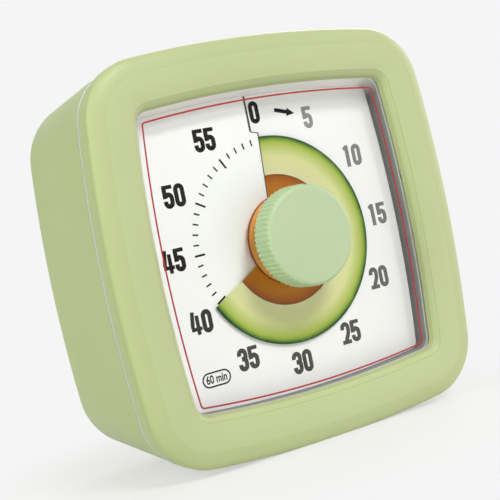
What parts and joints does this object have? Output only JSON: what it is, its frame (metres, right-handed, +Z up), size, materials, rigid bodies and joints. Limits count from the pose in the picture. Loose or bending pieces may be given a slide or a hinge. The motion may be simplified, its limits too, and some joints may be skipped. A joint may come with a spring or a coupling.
{
  "type": "visual countdown timer",
  "caption": "Desk countdown timer with a fluted centre knob and a coloured disc that comes out through a slit in a minute dial, in a bowed square case.",
  "frame": {"origin": "middle of the whole timer in X and Y, at the surface it stands on", "axes": "+X to the right as seen from the front, +Z up, the dial faces -Y"},
  "size_m": [0.079, 0.042, 0.0787],
  "materials": {
    "case_plastic": "fine satin",
    "clear_plastic": "polished, clear",
    "grey_plastic": "satin",
    "dial_card": "smooth, printed",
    "dial_plastic": "satin",
    "silver_trim": "satin silver",
    "black_plastic": "satin",
    "steel": "zinc plated",
    "movement_plastic": "satin",
    "brass": "plain",
    "core_steel": "plain",
    "copper_wire": "enamelled copper",
    "board": "solder mask",
    "silver_can": "satin",
    "cell_wrap": "printed sleeve",
    "contact_steel": "nickel plated",
    "knob_plastic": "fine satin",
    "brown_plastic": "satin",
    "gear_plastic": "natural acetal",
    "disc_film": "smooth, printed",
    "magnet": "sintered"
  },
  "bodies": {
    "case": {"front_bezel": "case_plastic", "window_lens": "clear_plastic", "trim_ring": "silver_trim", "rear_shell": "case_plastic", "dial_surround": "grey_plastic", "dial_plate": "dial_card", "dial_frame": "dial_plastic", "chassis_plate": "black_plastic", "chassis_screws": "steel", "case_screws": "steel", "movement_cover": "movement_plastic", "movement_case": "movement_plastic", "movement_screws": "steel", "shaft_bearing": "brass", "stator": "core_steel", "coil_bobbin": "black_plastic", "coil_winding": "copper_wire", "coil_pins": "brass", "circuit_board": "board", "board_screws": "steel", "control_chip": "black_plastic", "quartz_crystal": "silver_can", "buzzer": "brass", "switch_body": "steel", "aa_cell": "cell_wrap", "contact_positive": "contact_steel", "contact_negative": "contact_steel"},
    "knob_unit": {"knob": "knob_plastic", "knob_cap": "brown_plastic", "drive_shaft": "steel", "clutch_spring": "brass"},
    "disc_unit": {"disc_hub": "brown_plastic", "countdown_disc": "disc_film"},
    "centre_unit": {"centre_wheel": "gear_plastic"},
    "third_unit": {"third_wheel": "gear_plastic"},
    "second_unit": {"second_wheel": "gear_plastic"},
    "rotor_unit": {"rotor": "magnet"},
    "door": {"battery_door": "case_plastic"},
    "slider": {"volume_slider": "black_plastic"}
  },
  "joints": [
    {"name": "knob_turn", "type": "hinge", "parent": "case", "child": "knob_unit", "pos_m": [0, -0.01005, 0.0392], "axis": [0, 1, 0], "range_deg": [-240, 120]},
    {"name": "disc_climb", "type": "slide", "parent": "knob_unit", "child": "disc_unit", "axis": [0, -1, 0], "range_m": [-0.00081, 0.00041]},
    {"name": "rotor_spin", "type": "hinge", "parent": "case", "child": "rotor_unit", "pos_m": [-0.00724, 0.00295, 0.05154], "axis": [0, 1, 0], "range_deg": [0, 10800]},
    {"name": "second_spin", "type": "hinge", "parent": "case", "child": "second_unit", "pos_m": [0.0028, 0.00095, 0.05241], "axis": [0, 1, 0], "range_deg": [-361, 1]},
    {"name": "third_spin", "type": "hinge", "parent": "case", "child": "third_unit", "pos_m": [0.00935, -0.00105, 0.0446], "axis": [0, 1, 0], "range_deg": [-1, 49]},
    {"name": "centre_spin", "type": "hinge", "parent": "case", "child": "centre_unit", "pos_m": [0, -0.00345, 0.0392], "axis": [0, 1, 0], "range_deg": [-7, 1]},
    {"name": "door_hinge", "type": "hinge", "parent": "case", "child": "door", "pos_m": [0, 0.02095, 0.0086], "axis": [-1, 0, 0], "range_deg": [0, 80]},
    {"name": "volume_slide", "type": "slide", "parent": "case", "child": "slider", "axis": [1, 0, 0], "range_m": [-0.002, 0.002]}
  ],
  "couplings": [
    {"joint": "disc_climb", "follows": "knob_turn", "m_per_rad": 0.00019099},
    {"joint": "second_spin", "follows": "rotor_spin", "ratio": -0.033333},
    {"joint": "third_spin", "follows": "rotor_spin", "ratio": 0.0044444},
    {"joint": "centre_spin", "follows": "rotor_spin", "ratio": -0.00055556}
  ]
}
